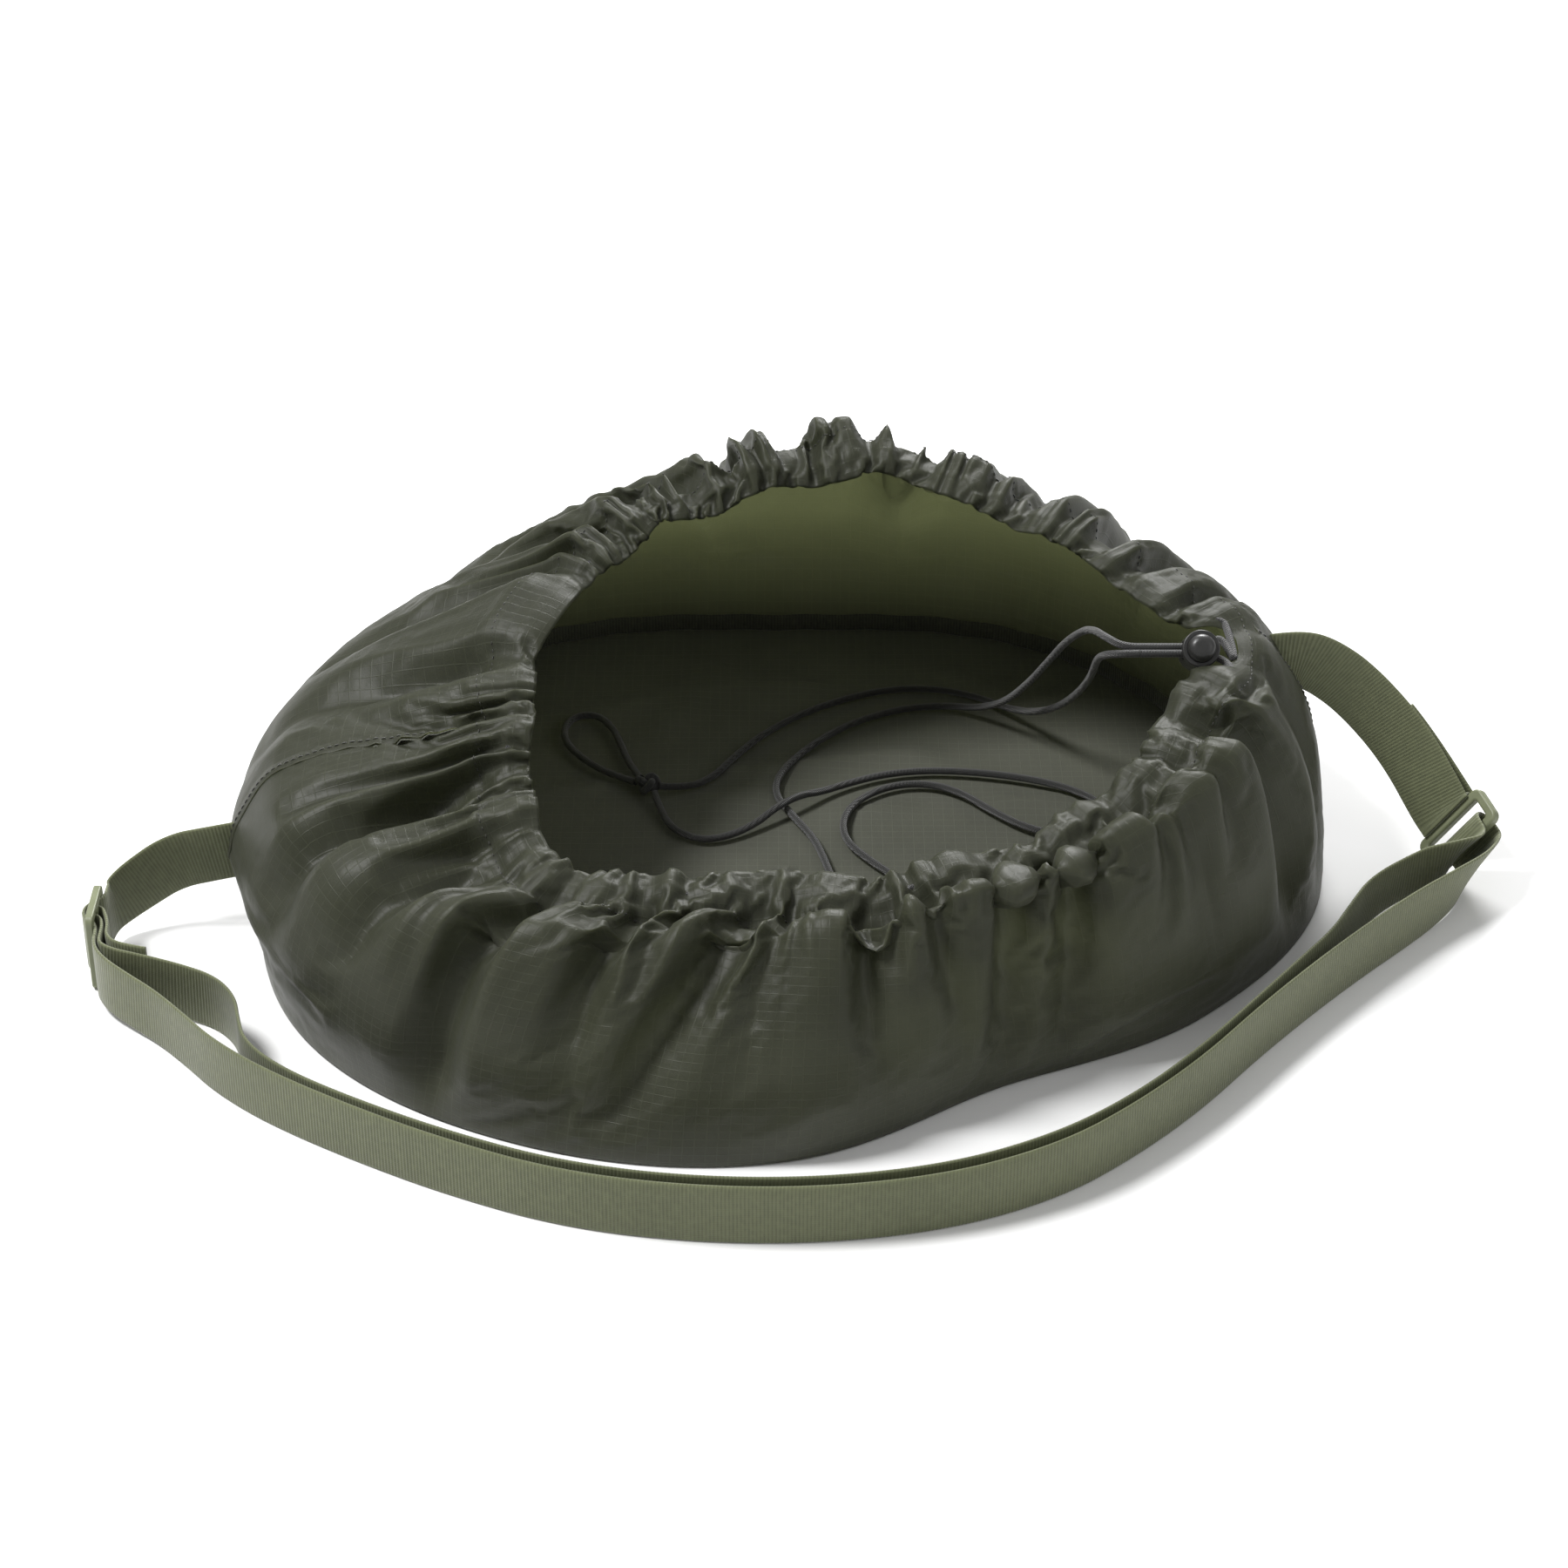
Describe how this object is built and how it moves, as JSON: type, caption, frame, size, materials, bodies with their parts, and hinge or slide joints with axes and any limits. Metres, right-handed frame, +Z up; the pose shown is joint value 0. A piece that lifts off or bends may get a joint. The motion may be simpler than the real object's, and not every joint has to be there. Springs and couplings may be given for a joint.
{
  "type": "rope storage bag",
  "caption": "Wide, shallow drawstring bag of coated cloth for storing rope, lying slumped open, with a sprung cord lock and an adjustable webbing shoulder strap.",
  "frame": {"origin": "centre of the base's underside, on the ground", "axes": "+X right, past the strap's ring; +Y to the back, where the rim is highest; +Z up"},
  "size_m": [0.5507, 0.4242, 0.1453],
  "materials": {
    "shell_cloth": "coated ripstop nylon, satin",
    "seam_tape": "bound seam, matt",
    "cord": "braided polyester",
    "webbing": "ribbed nylon webbing",
    "thread": "bonded nylon thread",
    "strap_hardware": "moulded acetal, matt",
    "lock_plastic": "moulded nylon, satin",
    "spring_steel": "drawn wire"
  },
  "bodies": {
    "bag": {"front_wall": "shell_cloth", "back_wall": "shell_cloth", "base_panel": "shell_cloth", "hem_front": "shell_cloth", "hem_back": "shell_cloth", "base_seam_binding": "seam_tape", "side_seam_left": "seam_tape", "side_seam_right": "seam_tape", "drawcord": "cord", "drawcord_tail_a": "cord", "drawcord_tail_b": "cord", "drawcord_end_loop": "cord", "end_knot": "cord", "strap_anchor_left": "webbing", "strap_anchor_right": "webbing"},
    "strap": {"strap_left_run": "webbing", "strap_slider_weave": "webbing", "strap_sewn_end": "webbing", "strap_outer_layer": "webbing", "strap_inner_layer": "webbing", "strap_outer_turn": "webbing", "strap_inner_turn": "webbing", "strap_ring_fold": "webbing", "tab_ring_fold": "webbing", "ring_tab": "webbing", "ring_tab_return": "webbing", "ring_tab_stitches": "thread", "strap_slider": "strap_hardware"},
    "ring": {"strap_ring": "strap_hardware"},
    "cord_lock": {"cord_lock_barrel": "lock_plastic", "cord_lock_spring": "spring_steel"},
    "lock_button": {"cord_lock_plunger": "lock_plastic"}
  },
  "joints": [
    {"name": "strap_lift", "type": "hinge", "parent": "bag", "child": "strap", "pos_m": [0.2, 0.03086, 0.0845], "axis": [-0.9824, -0.1418, -0.1216], "range_deg": [0, 110]},
    {"name": "ring_tilt", "type": "hinge", "parent": "strap", "child": "ring", "pos_m": [0.26567, 0.01182, 0.02034], "axis": [0.6, 0, 0.8], "range_deg": [-8, 8]},
    {"name": "lock_slide", "type": "slide", "parent": "bag", "child": "cord_lock", "axis": [-1, 0, 0], "range_m": [0, 0.012]},
    {"name": "button_press", "type": "slide", "parent": "cord_lock", "child": "lock_button", "axis": [0, 0.8, -0.6], "range_m": [0, 0.0035], "stiffness_N_per_m": 250, "springref_m": -0.003, "deforming": ["cord_lock_spring"]}
  ]
}
